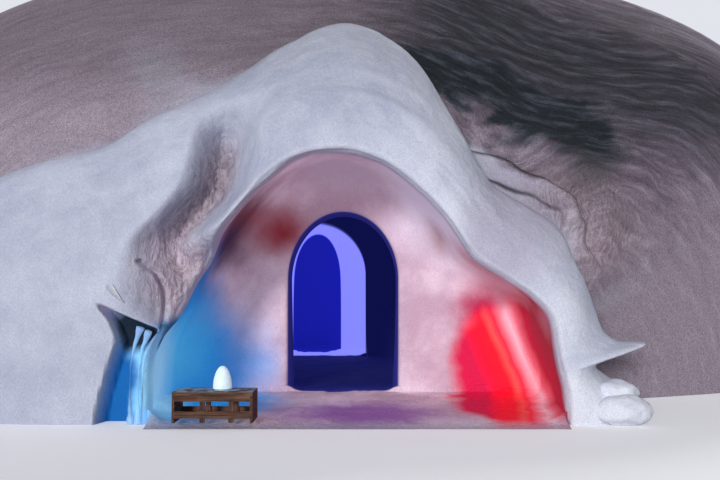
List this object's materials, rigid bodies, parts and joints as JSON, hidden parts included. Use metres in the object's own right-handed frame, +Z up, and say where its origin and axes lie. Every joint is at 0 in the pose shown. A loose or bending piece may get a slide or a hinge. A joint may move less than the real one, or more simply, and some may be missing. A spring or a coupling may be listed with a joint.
{
  "type": "igloo",
  "caption": "Packed-snow igloo: a broad mound over a round room, with a hooded bell-mouth porch, an inner doorway, a low crate bench and a glowing dome lamp",
  "frame": {"origin": "bottom centre of the footprint's box, on the ground", "axes": "+Z up, the porch mouth faces -Y, +X to the right seen from the front"},
  "size_m": [16, 11.6, 6.2],
  "materials": {
    "packed_snow": "matte wind-packed snow",
    "trodden_snow": "trodden snow",
    "bench_wood": "rough boards",
    "lamp_foot": "matte",
    "lamp_glow": "frosted, lit from inside"
  },
  "bodies": {
    "root": {"hood_crown": "packed_snow", "hood_right_haunch": "packed_snow", "hood_right_leg": "packed_snow", "hollow_wall": "packed_snow", "left_wing_bank": "packed_snow", "left_wing_foot": "packed_snow", "wing_chip": "packed_snow", "niche_rib_outer": "packed_snow", "niche_rib_inner": "packed_snow", "snow_heap_lower": "packed_snow", "snow_heap_upper": "packed_snow", "bank_right": "packed_snow", "bank_crown": "packed_snow", "bank_left": "packed_snow", "dome_front_right": "packed_snow", "dome_front_crown": "packed_snow", "dome_front_left": "packed_snow", "dome_mid_right": "packed_snow", "dome_mid_crown": "packed_snow", "dome_mid_left": "packed_snow", "dome_back_right": "packed_snow", "dome_back_crown": "packed_snow", "dome_back_left": "packed_snow", "door_wall_right": "packed_snow", "door_wall_arch": "packed_snow", "door_wall_left": "packed_snow", "inner_wall_right": "packed_snow", "inner_wall_arch": "packed_snow", "inner_wall_left": "packed_snow", "porch_floor": "trodden_snow", "passage_floor": "trodden_snow", "room_floor": "trodden_snow", "inner_sill": "trodden_snow", "back_floor": "trodden_snow", "bench_top": "bench_wood", "bench_ends": "bench_wood", "bench_rails": "bench_wood", "bench_posts": "bench_wood", "lamp_base": "lamp_foot", "lamp_dome": "lamp_glow"}
  },
  "joints": []
}
